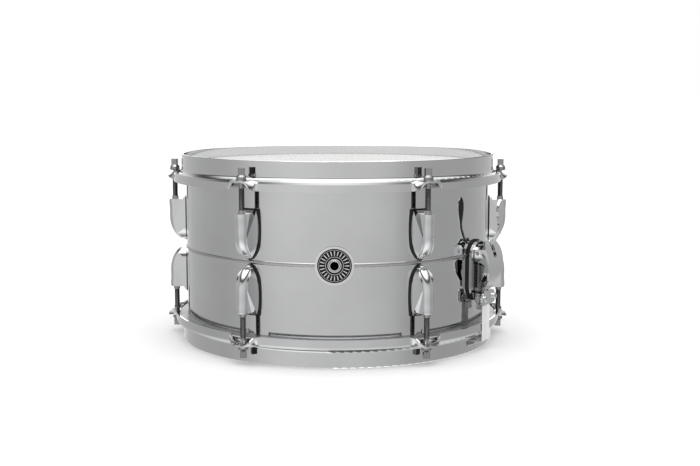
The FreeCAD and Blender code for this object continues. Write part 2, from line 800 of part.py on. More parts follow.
# ---------------------------------------------------------------- strainer
PIVOT = ("pivot_radius", "pivot_height")
CAM_DROP = "(snare_drop / 2)"
CAM_OUT = "(snare_drop / 2 / tan(lever_throw * 1deg / 2))"


def build_strainer_base():
    """A cast tray: ears for the pivot pin and guides for the carriage stand inside a rim that runs
    round the top and the sides and stops above the clamp block."""
    body = new_body("strainer_base")
    outside = rounded_box(*BASE_BOX)
    inside = rounded_box("base_half - base_rim", "base_bottom + base_rim", "base_top - base_rim",
                         "base_corner - base_rim")
    pad(body, profile(body, "tray", outside, "YZ_Plane", PAD_START),
        f"base_face + base_rim_height - {PAD_START}")
    pocket(body, profile(body, "recess", inside, "YZ_Plane", "base_face"), "10")
    clamp_room = profile(body, "clamp_room", [
        ("-20", "base_bottom - 1"), ("20", "base_bottom - 1"),
        ("20", "clamp_high + 4"), ("-20", "clamp_high + 4")], "YZ_Plane", "base_face")
    pocket(body, clamp_room, "10")
    ears = [("160", "pivot_height - 8"), ("pivot_radius + 4.5", "pivot_height - 6"),
            ("pivot_radius + 4.5", "pivot_height + 2"), ("pivot_radius", "pivot_height + 6.5"),
            ("160", "pivot_height + 4")]
    guides = [("160", "base_bottom + 14"), ("base_face + 5", "base_bottom + 14"),
              ("base_face + 10.5", "base_bottom + 26"), ("base_face + 10.5", "pivot_height - 14"),
              ("160", "pivot_height - 9")]
    for name, inner, points in (("ear", "ear_inner", ears), ("guide", "guide_inner", guides)):
        for side, hand in ((1, "near"), (-1, "far")):
            offset = f"{side} * ({inner} + guide_wall / 2)"
            pad(body, profile(body, f"{name}_{hand}", points, offset=offset), "guide_wall", midplane=True)
    hollow_back(body, GASKET_FACE)
    radial_holes(body, "screw_holes", STRAINER_SCREWS, "screw_radius + close_fit")
    pivot = circles(body, "pivot", [PIVOT + ("pin_radius + 0.02",)], "XZ_Plane")
    pocket(body, pivot, "60", midplane=True)
    return keep(body, station_turn(value("strainer_angle")))


COVER_FACE = [("cover_radius + 5.2", "base_top + 1"), ("cover_radius + 10.4", "pivot_height - 1"),
              ("cover_radius + 12.3", "pivot_height - 15"), ("cover_radius + 5", "base_bottom + 15"),
              ("cover_radius + 4.4", "base_bottom + 12")]


def build_strainer_cover():
    """A bent cover: two cheeks that hold the pivot pin, and a waisted front with a slot for the lever."""
    body = new_body("strainer_cover")
    top, bulge, belly, waist, low = COVER_FACE
    pad(body, profile(body, "block", [
        ("cover_radius - 7", "pivot_height - 9"), low,
        waist + ("36",), belly + ("40",), bulge, top,
        ("cover_radius + 1", "base_top + 1"), ("cover_radius - 7", "pivot_height + 3")]),
        "2 * cover_half", midplane=True)
    inner = "cover_wall"
    hollow = profile(body, "hollow", [
        ("cover_radius - 30", "base_bottom"), (f"{low[0]} - {inner}", "base_bottom"),
        (f"{waist[0]} - {inner}", waist[1], "36"), (f"{belly[0]} - {inner}", belly[1], "40"),
        (f"{bulge[0]} - {inner}", f"{bulge[1]} - 0.6"), (f"{top[0]} - {inner}", f"{top[1]} - 0.9"),
        (f"{top[0]} - {inner}", f"{top[1]} + 9"), ("cover_radius - 30", f"{top[1]} + 9")])
    pocket(body, hollow, "2 * (cover_half - cover_wall)", midplane=True)
    open_side = profile(body, "open_side", [
        ("cover_radius - 30", "base_bottom"), ("cover_radius + 2.4", "base_bottom"),
        ("cover_radius + 6", "pivot_height - 28"), ("cover_radius + 7.5", "pivot_height - 12"),
        ("cover_radius + 1", "pivot_height - 8"), ("cover_radius - 30", "pivot_height - 8")])
    pocket(body, open_side, "100", midplane=True)
    waisted = attached_sketch(body, "waisted", "YZ_Plane", "150")
    for side in (1, -1):
        points = [(f"{side} * cover_half", "pivot_height - 19"),
                  (f"{side} * 9", "base_bottom + 17"), (f"{side} * 10", "base_bottom + 10"),
                  (f"{side} * 30", "base_bottom + 10"), (f"{side} * 30", "pivot_height - 19")]
        outline(waisted, points[::side])
    pocket(body, waisted, "60")
    crown = attached_sketch(body, "crown", "YZ_Plane", "150")
    for side in (1, -1):
        points = [(f"{side} * (cover_half + 1)", "base_top - 8"),
                  (f"{side} * (cover_half - 7)", "base_top + 2"),
                  (f"{side} * (cover_half + 1)", "base_top + 2")]
        outline(crown, points[::-side])
    pocket(body, crown, "60")
    opening = rounded_box("arm_half + 0.8", "pivot_height - 5", "base_top + 20", "2")
    slot = profile(body, "lever_slot", opening, "YZ_Plane", "cover_radius + 1")
    pocket(body, slot, "20")
    pivot = circles(body, "pivot", [PIVOT + ("pin_radius + 0.02",)], "XZ_Plane")
    pocket(body, pivot, "60", midplane=True)
    return keep(body, station_turn(value("strainer_angle")))


def build_lever():
    """Cam, bent arm and oval paddle in one piece. It stands up when the wires are on."""
    body = new_body("strainer_lever")
    cam = circles(body, "cam", [(f"pivot_radius + {CAM_OUT}", f"pivot_height + {CAM_DROP}", "cam_radius")],
                  "XZ_Plane")
    pad(body, cam, "2 * (carriage_half - 0.2)", midplane=True)
    inner, outer = "paddle_face", "paddle_face + paddle_wall"
    arm = profile(body, "arm", [
        ("pivot_radius + 0.4", "pivot_height + 3.8"), ("pivot_radius + 4.6", "pivot_height + 1.2"),
        ("pivot_radius + 9.4", "pivot_height + 9.6"), (f"{outer} - 1.2", "pivot_height + 20", "30"),
        (outer, "pivot_height + 27"), (outer, "pivot_height + 40"),
        (inner, "pivot_height + 40"), (inner, "pivot_height + 27.4", "-27"),
        (f"{inner} - 1.3", "pivot_height + 21"), ("pivot_radius + 6.6", "pivot_height + 11.5")])
    pad(body, arm, "2 * arm_half", midplane=True)
    paddle = profile(body, "paddle", [
        ("-3", "pivot_height + 27"), ("3", "pivot_height + 27", "60"),
        ("7", "pivot_height + 41", "11"), ("0", "pivot_height + 54", "11"),
        ("-7", "pivot_height + 41", "60")],
        "YZ_Plane", inner)
    pad(body, paddle, "paddle_wall")
    pivot = circles(body, "pivot", [PIVOT + ("pin_radius + running_gap",)], "XZ_Plane")
    pocket(body, pivot, "60", midplane=True)
    return keep(body, station_turn(value("strainer_angle")))


def build_pivot_pin():
    body = new_body("strainer_pivot_pin")
    pin = circles(body, "pin", [PIVOT + ("pin_radius",)], "XZ_Plane")
    pad(body, pin, "2 * cover_half + 0.6", midplane=True)
    return keep(body, station_turn(value("strainer_angle")))


def build_carriage():
    """Slide with two open hooks round the cam and a threaded boss for the tension knob. Its back is
    relieved at the top, where it stands in front of the base's rim."""
    body = new_body("strainer_carriage")
    back, web = "base_face + 0.5", "base_face + 4"
    relief = "base_face + base_rim_height + 0.3"
    cam_level = f"pivot_height + {CAM_DROP}"
    top = f"{cam_level} + cam_radius + cam_gap + 2"
    pad(body, profile(body, "side", [
        (back, "base_bottom + 10"), ("clamp_face", "base_bottom + 10"),
        ("clamp_face", "base_bottom + 19"), (web, "base_bottom + 22"),
        (web, "pivot_height - 10"), ("pivot_radius + 3.6", "pivot_height - 6.5"),
        ("pivot_radius + 3.6", f"{cam_level} - cam_radius - cam_gap"),
        (web, f"{cam_level} - cam_radius - cam_gap"),
        (web, f"{cam_level} + cam_radius + cam_gap"),
        ("pivot_radius + 2.6", f"{cam_level} + cam_radius + cam_gap"),
        ("pivot_radius + 2.6", top), (relief, top), (relief, f"{top} - 2"), (back, f"{top} - 7")]),
        "2 * carriage_half", midplane=True)
    gap = profile(body, "hook_gap", [
        (web, "pivot_height - 9"), ("pivot_radius + 20", "pivot_height - 9"),
        ("pivot_radius + 20", "pivot_height + 20"), (web, "pivot_height + 20")])
    pocket(body, gap, "2 * (arm_half + 1.6)", midplane=True)
    thread = circles(body, "thread", [("knob_axis", "0", "screw_radius + running_gap")],
                     offset="base_bottom")
    pocket(body, thread, "21.5")
    return keep(body, station_turn(value("strainer_angle")))


def build_clamp_block():
    """A narrow block round the knob's screw, with the wide inner jaw across its front."""
    body = new_body("strainer_clamp_block")
    back = "base_face + 0.6"
    for name, half, start in (("core", "clamp_core", back), ("jaw", "clamp_half", "clamp_face - jaw_depth")):
        box = rounded_box(half, "clamp_low", "clamp_high", "2")
        pad(body, profile(body, name, box, "YZ_Plane", start), f"clamp_face - ({start})")
    pocket(body, circles(body, "knob_hole", [("knob_axis", "0", "screw_radius + screw_play")],
                         offset="clamp_low - 5"), "30")
    radial_holes(body, "screw_holes", CLAMP_SCREWS, "clamp_shank + close_fit")
    return keep(body, station_turn(value("strainer_angle")))


def build_clamp_plate(name, angle):
    """The outer jaw: waisted at the top, where the cover's tongue ends, and wide where its screws are."""
    body = new_body(name)
    low, shoulder, top = "clamp_low - 1", f"{CLAMP_LEVEL} + 2", "clamp_high + 1.8"
    pad(body, profile(body, "plate", [
        ("-clamp_half + 3", low),
        ("clamp_half - 3", low, "3"),
        ("clamp_half", f"{low} + 3"),
        ("clamp_half", shoulder, "6"),
        ("jaw_waist", top),
        ("-jaw_waist", top, "6"),
        ("-clamp_half", shoulder),
        ("-clamp_half", f"{low} + 3", "3"),
    ], "YZ_Plane", JAW_FACE), "clamp_wall")
    radial_holes(body, "screw_holes", CLAMP_SCREWS, "clamp_shank + 0.2")
    return keep(body, station_turn(value(angle)))


def build_clamp_screws(name, angle):
    """Two domed screws that squeeze the strap between block and plate."""
    body = new_body(name)
    seat = f"{JAW_FACE} + clamp_wall"
    tip = f"{seat} - clamp_screw_length"
    for index, (side, level) in enumerate(CLAMP_SCREWS):
        sketch = attached_sketch(body, f"screw_{index}", "XZ_Plane", side)
        bind(sketch, ".AttachmentOffset.Base.y", level)
        outline(sketch, [
            (tip, "0"), (f"{seat} + 3.9", "0", "5.2"), (f"{seat} + 1.6", "clamp_dome"),
            (seat, "clamp_dome"), (seat, "clamp_shank"), (tip, "clamp_shank")])
        spin(body, sketch, "H_Axis")
    return keep(body, station_turn(value(angle)))


def build_knob():
    """Knurled thumb knob on the screw that lifts the clamp."""
    body = new_body("tension_knob")
    sketch = attached_sketch(body, "turned", "XZ_Plane")
    bind(sketch, ".AttachmentOffset.Base.x", "knob_axis")
    top = "clamp_low - turning_gap"
    outline(sketch, [
        ("0", "knob_low"), ("knob_radius - 0.8", "knob_low"), ("knob_radius", "knob_low + 0.8"),
        ("knob_radius", f"{top} - 1.2"), ("knob_radius - 0.9", top), ("screw_radius", top),
        ("screw_radius", "base_bottom + 18"), ("0", "base_bottom + 18")])
    spin(body, sketch)
    return keep(body, station_turn(value("strainer_angle")))


# ---------------------------------------------------------------- butt end
def build_butt_base():
    body = new_body("butt_base")
    block = profile(body, "block", rounded_box(*BUTT_BOX), "YZ_Plane", PAD_START)
    pad(body, block, f"clamp_face - {PAD_START}")
    hollow_back(body, GASKET_FACE)
    radial_holes(body, "strap_screw_holes", CLAMP_SCREWS, "clamp_shank + close_fit", start="170")
    radial_holes(body, "mount_holes", BUTT_SCREWS, "screw_radius + close_fit", length="25")
    return keep(body, station_turn(value("butt_angle")))


# ---------------------------------------------------------------- snares
def build_strap(name, angle):
    """A strip from the wires' end plate, out through the hoop's gate and up to its clamp."""
    body = new_body(name)
    plate_top = "wire_level - wire_radius"
    bend, wall = "strap_bend", "strap_wall"
    outside = f"strap_radius + {wall}"
    pad(body, profile(body, "strip", [
        ("wire_reach + 2", plate_top),
        ("plate_reach", plate_top),
        ("plate_reach + 18", "strap_level"),
        (f"{outside} - {bend}", "strap_level", bend),
        (outside, f"strap_level + {bend}"),
        (outside, "clamp_high + 0.5"),
        ("strap_radius", "clamp_high + 0.5"),
        ("strap_radius", f"strap_level + {bend}", f"-({bend} - {wall})"),
        (f"{outside} - {bend}", f"strap_level + {wall}"),
        ("plate_reach + 18", f"strap_level + {wall}"),
        ("plate_reach", f"{plate_top} + {wall}"),
        ("wire_reach + 2", f"{plate_top} + {wall}"),
    ]), "2 * strap_half", midplane=True)
    return keep(body, station_turn(value(angle)))


def build_end_plates():
    body = new_body("snare_end_plates")
    plates = attached_sketch(body, "plates", "XY_Plane", "wire_level - wire_radius - plate_wall")
    for side in (1, -1):
        points = [(f"{side} * (wire_reach - 5)", "-plate_half"), (f"{side} * plate_reach", "-plate_half + 4"),
                  (f"{side} * plate_reach", "plate_half - 4"), (f"{side} * (wire_reach - 5)", "plate_half")]
        outline(plates, points[::side])
    pad(body, plates, "plate_wall")
    return keep(body, station_turn(value("strainer_angle")))


def build_wires():
    """Twenty coiled strands, each shown by a plain rod of the coil's outside size."""
    body = new_body("snare_wires")
    pitch = "(2 * plate_half - 4) / wire_count"
    rounds = [(f"{pitch} * {index - (value('wire_count') - 1) / 2}", "wire_level", "wire_radius")
              for index in range(int(value("wire_count")))]
    pad(body, circles(body, "strands", rounds, "YZ_Plane"), "2 * wire_reach", midplane=True)
    return keep(body, station_turn(value("strainer_angle")))


# ---------------------------------------------------------------- assembly
def assemble():
    count = int(value("stations"))
    angles = [360 / count * (index + 0.5) for index in range(count)]
    build_shell()

    film, flesh = build_head("batter_head_film", "batter_flesh_hoop")
    batter_hoop = build_hoop("batter_hoop")
    for body in (batter_hoop, film, flesh):
        keep(body)
    over = turned_over(Placement())
    doc.recompute()
    keep(clone(film, "snare_head_film"), over)
    keep(clone(flesh, "snare_flesh_hoop"), over)
    snare_hoop = build_hoop("snare_hoop")
    cut_gates(snare_hoop)
    keep(snare_hoop, over)

    washers = keep(build_rod_washers("batter_rod_washers"))
    first_rod = build_rod("batter_rod_1")
    first_lug = build_lug("batter_lug_1")
    doc.recompute()
    keep(clone(washers, "snare_rod_washers"), over)
    for index, angle in enumerate(angles, start=1):
        rod = first_rod if index == 1 else clone(first_rod, f"batter_rod_{index}")
        lug = first_lug if index == 1 else clone(first_lug, f"batter_lug_{index}")
        keep(rod, station_turn(angle).multiply(key_turn(angle, index)))
        keep(lug, station_turn(angle))
        below = 180 - angle
        snare_rod = clone(first_rod, f"snare_rod_{index}")
        keep(snare_rod, turned_over(station_turn(below).multiply(key_turn(below, -index))))
        keep(clone(first_lug, f"snare_lug_{index}"), turned_over(station_turn(below)))

    sources = {"lug_inserts": build_insert("lug_insert"), "lug_gaskets": build_lug_gaskets(),
               "lug_screws": build_lug_screws(), "lug_screw_washers": build_screw_washers()}
    doc.recompute()
    for name, source in sources.items():
        both_sides(name, repeated(name, source))

    build_badge()
    build_vent()

    strainer = station_turn(value("strainer_angle"))
    butt = station_turn(value("butt_angle"))
    keep(build_shell_gasket("strainer_gasket", *BASE_BOX, STRAINER_SCREWS), strainer)
    build_strainer_base()
    build_strainer_cover()
    build_lever()
    build_pivot_pin()
    build_carriage()
    build_clamp_block()
    build_clamp_plate("strainer_clamp_plate", "strainer_angle")
    build_clamp_screws("strainer_clamp_screws", "strainer_angle")
    build_knob()
    keep(build_mounting_screws("strainer_mounting_screws", STRAINER_SCREWS, "base_face - 0.3"), strainer)

    keep(build_shell_gasket("butt_gasket", *BUTT_BOX, BUTT_SCREWS), butt)
    build_butt_base()
    build_clamp_plate("butt_clamp_plate", "butt_angle")
    build_clamp_screws("butt_clamp_screws", "butt_angle")
    keep(build_mounting_screws("butt_mounting_screws", BUTT_SCREWS, "shell_radius + 9"), butt)

    build_strap("snare_strap_strainer", "strainer_angle")
    build_strap("snare_strap_butt", "butt_angle")
    build_end_plates()
    build_wires()
    doc.recompute()


assemble()

# ---------------------------------------------------------------- checks and export
for thing in doc.Objects:
    if "Invalid" in thing.State or "Error" in thing.State:
        raise RuntimeError(f"{thing.Label} failed: {thing.State}")
for subpart in SUBPARTS:
    if subpart.Shape.isNull() or not subpart.Shape.isValid() or not subpart.Shape.Solids:
        raise RuntimeError(f"{subpart.Label} has no valid solid")

os.makedirs("parts", exist_ok=True)
for subpart in SUBPARTS:
    subpart.Shape.exportStep(f"parts/{subpart.Label}.step")
print(len(SUBPARTS), "sub-parts written")
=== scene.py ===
import json
import math
import random

import bmesh
import bpy
from mathutils import Matrix, Vector


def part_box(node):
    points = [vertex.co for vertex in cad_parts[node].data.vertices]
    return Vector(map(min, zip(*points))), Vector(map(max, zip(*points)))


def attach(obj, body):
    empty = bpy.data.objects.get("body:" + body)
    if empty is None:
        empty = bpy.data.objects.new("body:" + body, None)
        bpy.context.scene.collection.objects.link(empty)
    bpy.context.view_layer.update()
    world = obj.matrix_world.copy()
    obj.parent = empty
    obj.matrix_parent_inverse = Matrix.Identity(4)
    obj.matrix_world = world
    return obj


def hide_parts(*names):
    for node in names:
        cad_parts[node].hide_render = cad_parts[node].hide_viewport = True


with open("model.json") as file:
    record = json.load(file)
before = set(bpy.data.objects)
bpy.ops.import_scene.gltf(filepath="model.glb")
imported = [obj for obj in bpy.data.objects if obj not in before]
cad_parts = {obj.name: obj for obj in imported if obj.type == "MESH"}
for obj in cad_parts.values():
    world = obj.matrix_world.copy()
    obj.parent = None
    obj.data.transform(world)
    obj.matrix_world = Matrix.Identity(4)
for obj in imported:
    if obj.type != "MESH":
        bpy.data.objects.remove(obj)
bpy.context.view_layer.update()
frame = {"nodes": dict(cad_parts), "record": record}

random.seed(7)

# ------------------------------------------------------------ places, from the frame (metres)
MID_HEIGHT = (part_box("batter_hoop")[1].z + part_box("snare_hoop")[0].z) / 2
STRAINER_ANGLE = math.radians(60)   # from the badge towards +X


def add_object(name, data):
    made = bpy.data.objects.new(name, data)
    bpy.context.scene.collection.objects.link(made)
    return made


# ------------------------------------------------------------ node helpers
NOISE_USUAL = (0.3, 0.7)            # where most of a noise texture's values lie
WHOLE = (0, 1)
BUMP_DEPTH = 0.0002


def material(name, metallic=0.0, gloss=None):
    """A new material: itself, its tree and its Principled shader. Gloss is its specular level."""
    made = bpy.data.materials.new(name)
    made.use_nodes = True
    tree = made.node_tree
    shader = tree.nodes["Principled BSDF"]
    shader.inputs["Metallic"].default_value = metallic
    if gloss is not None:
        shader.inputs["Specular IOR Level"].default_value = gloss
    return made, tree, shader


def node(tree, kind, **settings):
    """A new node. A setting goes to the input of its name, or else to the node's property."""
    made = tree.nodes.new(kind)
    for key, setting in settings.items():
        if key in made.inputs:
            made.inputs[key].default_value = setting
        else:
            setattr(made, key, setting)
    return made


def axes(tree, output="Object"):
    """X, Y and Z of the object's own coordinates, which are the drum's, or of another output."""
    source = node(tree, "ShaderNodeTexCoord")
    split = node(tree, "ShaderNodeSeparateXYZ")
    tree.links.new(source.outputs[output], split.inputs["Vector"])
    return [split.outputs[axis] for axis in "XYZ"]


def noise(tree, scale, detail=4.0, stretch=(1, 1, 1)):
    """Noise in the drum's coordinates. A small number in stretch draws it out along that axis."""
    source = node(tree, "ShaderNodeTexCoord")
    mapping = node(tree, "ShaderNodeMapping", Scale=stretch)
    tree.links.new(source.outputs["Object"], mapping.inputs["Vector"])
    made = node(tree, "ShaderNodeTexNoise", Scale=scale, Detail=detail)
    tree.links.new(mapping.outputs["Vector"], made.inputs["Vector"])
    return made.outputs["Fac"]


def span(tree, source, low, high, ends=NOISE_USUAL):
    """A number that runs from low to high as the source runs from one end to the other."""
    made = node(tree, "ShaderNodeMapRange")
    for label, number in zip(("From Min", "From Max", "To Min", "To Max"), (*ends, low, high)):
        made.inputs[label].default_value = number
    tree.links.new(source, made.inputs["Value"])
    return made.outputs["Result"]


def math_node(tree, operation, first, second=None):
    """One sum. Each of its terms is a number or a socket."""
    made = node(tree, "ShaderNodeMath", operation=operation)
    for socket, source in zip(made.inputs, (first, second)):
        if source is None:
            continue
        if isinstance(source, (int, float)):
            socket.default_value = source
        else:
            tree.links.new(source, socket)
    return made.outputs["Value"]


def bumped(tree, shader, height, strength, distance=BUMP_DEPTH):
    bump = node(tree, "ShaderNodeBump", Strength=strength, Distance=distance)
    tree.links.new(height, bump.inputs["Height"])
    tree.links.new(bump.outputs["Normal"], shader.inputs["Normal"])


def scaled(tone, factor):
    return [min(channel * factor, 1) for channel in tone]


def mixed(tree, factor, **ends):
    """A colour mix. Its ends A and B are colours of three numbers, or sockets."""
    mix = node(tree, "ShaderNodeMix", data_type="RGBA")
    for label, end in ends.items():
        if isinstance(end, bpy.types.NodeSocket):
            tree.links.new(end, mix.inputs[label])
        else:
            mix.inputs[label].default_value = (*end, 1)
    tree.links.new(factor, mix.inputs["Factor"])
    return mix.outputs["Result"]


def tinted(tree, shader, dark, light, source):
    """Colour that runs between two tones with the source."""
    tree.links.new(mixed(tree, source, A=dark, B=light), shader.inputs["Base Color"])


def roughened(tree, shader, source, low, high, ends=NOISE_USUAL):
    """Roughness that runs from low to high with the source."""
    tree.links.new(span(tree, source, low, high, ends), shader.inputs["Roughness"])


def clouded(tree, shader, cloud, tones, rough):
    """Tone and roughness that both run with one noise."""
    tinted(tree, shader, *tones, span(tree, cloud, 0, 1))
    roughened(tree, shader, cloud, *rough)


def from_middle(tree, height):
    """How far a height is from the middle of the drum, either way."""
    return math_node(tree, "ABSOLUTE", math_node(tree, "SUBTRACT", height, MID_HEIGHT))


FACING_ENDS = (-0.5, -0.2)          # cosine between a surface's normal and the way out


def facing_in(tree):
    """1 on surfaces that face the drum's axis, 0 on the others. It marks where painted shade
    goes.
    """
    geometry = node(tree, "ShaderNodeNewGeometry")
    level = node(tree, "ShaderNodeVectorMath", operation="MULTIPLY")
    level.inputs[1].default_value = (1, 1, 0)
    tree.links.new(geometry.outputs["Position"], level.inputs[0])
    out = node(tree, "ShaderNodeVectorMath", operation="NORMALIZE")
    tree.links.new(level.outputs["Vector"], out.inputs[0])
    lean = node(tree, "ShaderNodeVectorMath", operation="DOT_PRODUCT")
    tree.links.new(out.outputs["Vector"], lean.inputs[0])
    tree.links.new(geometry.outputs["True Normal"], lean.inputs[1])
    return span(tree, lean.outputs["Value"], 1, 0, FACING_ENDS)


def add_painted_shade(made, where, tone, rough=0.0):
    """Mixes a darker tone, painted shade, into a material, and adds roughness, where the number
    is 1.
    """
    tree = made.node_tree
    shader = tree.nodes["Principled BSDF"]
    colour = shader.inputs["Base Color"].links[0].from_socket
    tree.links.new(mixed(tree, where, A=colour, B=(tone,) * 3), shader.inputs["Base Color"])
    if rough:
        smooth = shader.inputs["Roughness"].links[0].from_socket
        tree.links.new(math_node(tree, "ADD", smooth, span(tree, where, 0, rough, WHOLE)),
                       shader.inputs["Roughness"])
    return made


# ------------------------------------------------------------ materials
CHROME_CAST = (1, 1.005, 1.015)     # the plate is very slightly blue
HAZE_SCALE = 22.0
HAZE_TONES = (0.96, 1.03)           # factors on the tint
HAIR_SCALE = 900.0
HAIR_STRETCH = (1, 1, 0.02)
HAIR_ENDS = (0.62, 0.70)            # only the noise's peaks show as hairlines
HAIR_ROUGH = 0.03
HAIR_LEAST = 0.2                    # share of a hairline's roughness where there is no haze
RIPPLE_SCALE = 45.0
RIPPLE_DEPTH = 0.0004


def chrome(name, tint, smooth=0.03, rough=0.075, ripple=0.02):
    """Chrome plate: a faint breath of haze, hairline scratches and the slightest ripple."""
    made, tree, shader = material(name, metallic=1.0)
    haze = noise(tree, HAZE_SCALE, detail=5.0)
    tone = [tint * channel for channel in CHROME_CAST]
    dull, bright = (scaled(tone, factor) for factor in HAZE_TONES)
    tinted(tree, shader, dull, bright, span(tree, haze, 0, 1))
    hairs = span(tree, noise(tree, HAIR_SCALE, 2.0, HAIR_STRETCH), 0, HAIR_ROUGH, HAIR_ENDS)
    rubbed = math_node(tree, "MULTIPLY", hairs, span(tree, haze, HAIR_LEAST, 1))
    tree.links.new(math_node(tree, "ADD", span(tree, haze, smooth, rough), rubbed),
                   shader.inputs["Roughness"])
    bumped(tree, shader, noise(tree, RIPPLE_SCALE, detail=1.5), ripple, RIPPLE_DEPTH)
    return made


BEAD_HALF = 0.0021                  # half the rolled bead's height
BEAD_CORE = 0.9                     # the share of it that is fully dull and fully darkened by painted shade


def shell_chrome():
    """The shell's chrome, which is duller over the rolled bead and darker there with painted
    shade.
    """
    made = chrome("shell_chrome", tint=0.75)
    tree = made.node_tree
    height = axes(tree)[2]
    bead = span(tree, from_middle(tree, height), 1, 0, (BEAD_HALF * BEAD_CORE, BEAD_HALF))
    # Painted shade: a darker tone over the bead, together with the added roughness.
    return add_painted_shade(made, bead, tone=0.50, rough=0.20)


METAL_CLOUDS = 60.0
METAL_TONES = (0.85, 1.08)          # factors on the tone
METAL_ROUGH = (0.8, 1.25)           # factors on the roughness
METAL_GRAIN = 300.0


def metal(name, tone, roughness):
    """Plain metal: clouded tone and roughness, and a fine grain."""
    made, tree, shader = material(name, metallic=1.0)
    tones = [scaled(tone, factor) for factor in METAL_TONES]
    rough = [roughness * factor for factor in METAL_ROUGH]
    clouded(tree, shader, noise(tree, METAL_CLOUDS), tones, rough)
    bumped(tree, shader, noise(tree, METAL_GRAIN, detail=3.0), strength=0.05)
    return made


THREAD_PITCH = 0.00106              # 24 to the inch
SHANK_REACH = 0.0735                # from the middle of the drum to where a key begins
SHANK_BLUR = 0.0002
SHANK_WHITE = (1, 1, 1.01)          # what the tones below are shares of
SHANK_TONE, KEY_TONE = 0.10, 0.36
TONE_CLOUDS = (-0.02, 0.03)
SHANK_ROUGH, KEY_ROUGH = 0.30, 0.12
RING_STRENGTH = 0.8


def rod_metal():
    """Rods: the shank between the keys is dark and carries the thread's rings. The keys are
    plated. What faces the drum is darker, as the photograph shows it in the shell and hoop:
    this darker side is painted shade."""
    made, tree, shader = material("rod_chrome", metallic=1.0)
    height = axes(tree)[2]
    key = span(tree, from_middle(tree, height), 0, 1,
               (SHANK_REACH - SHANK_BLUR, SHANK_REACH + SHANK_BLUR))
    plated = math_node(tree, "ADD", span(tree, key, SHANK_TONE, KEY_TONE, WHOLE),
                       span(tree, noise(tree, METAL_CLOUDS), *TONE_CLOUDS))
    tinted(tree, shader, (0, 0, 0), SHANK_WHITE, plated)
    roughened(tree, shader, key, SHANK_ROUGH, KEY_ROUGH, WHOLE)
    ring = math_node(tree, "SINE", math_node(tree, "MULTIPLY", height, math.tau / THREAD_PITCH))
    cut = math_node(tree, "MULTIPLY", ring, span(tree, key, 1, 0, WHOLE))
    bumped(tree, shader, cut, RING_STRENGTH)
    # Painted shade: the side that faces the drum is darkened.
    return add_painted_shade(made, facing_in(tree), tone=0.05)


FILM_CLOUDS = 9.0
FILM_DULL = 0.965                   # factor on the tone where it is clouded
FILM_ROUGH = (0.85, 1.1)            # factors on the roughness
FILM_PEBBLE = 600.0
PEBBLE_DEPTH = 0.00005


def film(name, tone, roughness, pebble, gloss):
    """Drumhead film: a faint pebble, and faint clouding."""
    made, tree, shader = material(name, gloss=gloss)
    cloud = span(tree, noise(tree, FILM_CLOUDS, detail=3.0), 0, 1)
    tinted(tree, shader, scaled(tone, FILM_DULL), tone, cloud)
    grain = noise(tree, FILM_PEBBLE, detail=1.0)
    roughened(tree, shader, grain, *(roughness * factor for factor in FILM_ROUGH))
    bumped(tree, shader, grain, pebble, PEBBLE_DEPTH)
    return made


RUBBER_CLOUDS = 80.0
RUBBER_TONES = ((0.008, 0.008, 0.008), (0.02, 0.02, 0.021))
RUBBER_ROUGH = (0.42, 0.62)
RUBBER_GRAIN = 900.0


def rubber(name):
    """Black gasket rubber, clouded and finely grained."""
    made, tree, shader = material(name, gloss=0.2)
    clouded(tree, shader, noise(tree, RUBBER_CLOUDS), RUBBER_TONES, RUBBER_ROUGH)
    bumped(tree, shader, noise(tree, RUBBER_GRAIN, detail=2.0), strength=0.15)
    return made


KNOB_TONES = ((0.62, 0.62, 0.63), (0.74, 0.74, 0.75))
KNOB_ROUGH = (0.12, 0.2)
KNURLS = 36
KNURL_STRENGTH = 0.7
KNURL_DEPTH = 0.0003


def knurled(name):
    """Plated steel with straight knurls round the tension knob's own axis."""
    made, tree, shader = material(name, metallic=1.0)
    clouded(tree, shader, noise(tree, METAL_CLOUDS), KNOB_TONES, KNOB_ROUGH)
    low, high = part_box("tension_knob")
    centre = (low + high) / 2
    across, along, _ = axes(tree)
    turn = math_node(tree, "ARCTAN2", math_node(tree, "SUBTRACT", along, centre.y),
                     math_node(tree, "SUBTRACT", across, centre.x))
    ridge = math_node(tree, "SINE", math_node(tree, "MULTIPLY", turn, KNURLS))
    bumped(tree, shader, ridge, KNURL_STRENGTH, KNURL_DEPTH)
    return made


STRIP_LINES = 120.0
STRIP_STRETCH = (1, 1, 0.03)
STRIP_TONES = ((0.66, 0.66, 0.65), (0.78, 0.78, 0.77))
STRIP_ROUGH = (0.22, 0.34)


def strip_plastic(name):
    """Pale polyester strip with faint drawn lines down it."""
    made, tree, shader = material(name)
    lines = noise(tree, STRIP_LINES, 2.0, STRIP_STRETCH)
    clouded(tree, shader, lines, STRIP_TONES, STRIP_ROUGH)
    return made


BADGE_INK = (0.005, 0.005, 0.006)
BADGE_METAL = (0.92, 0.92, 0.92)
INK_ROUGH, RIM_ROUGH = 0.35, 0.10
RIM_START = 0.01665                 # radii on the badge
HUB_END = 0.0066
RAY_BAND = (0.0098, 0.0142)
CIRCLE_BANDS = ((0.0084, 0.0088), (0.0151, 0.0154))
RAYS = 24
RAY_EDGE = 0.62                     # a higher edge makes a thinner ray


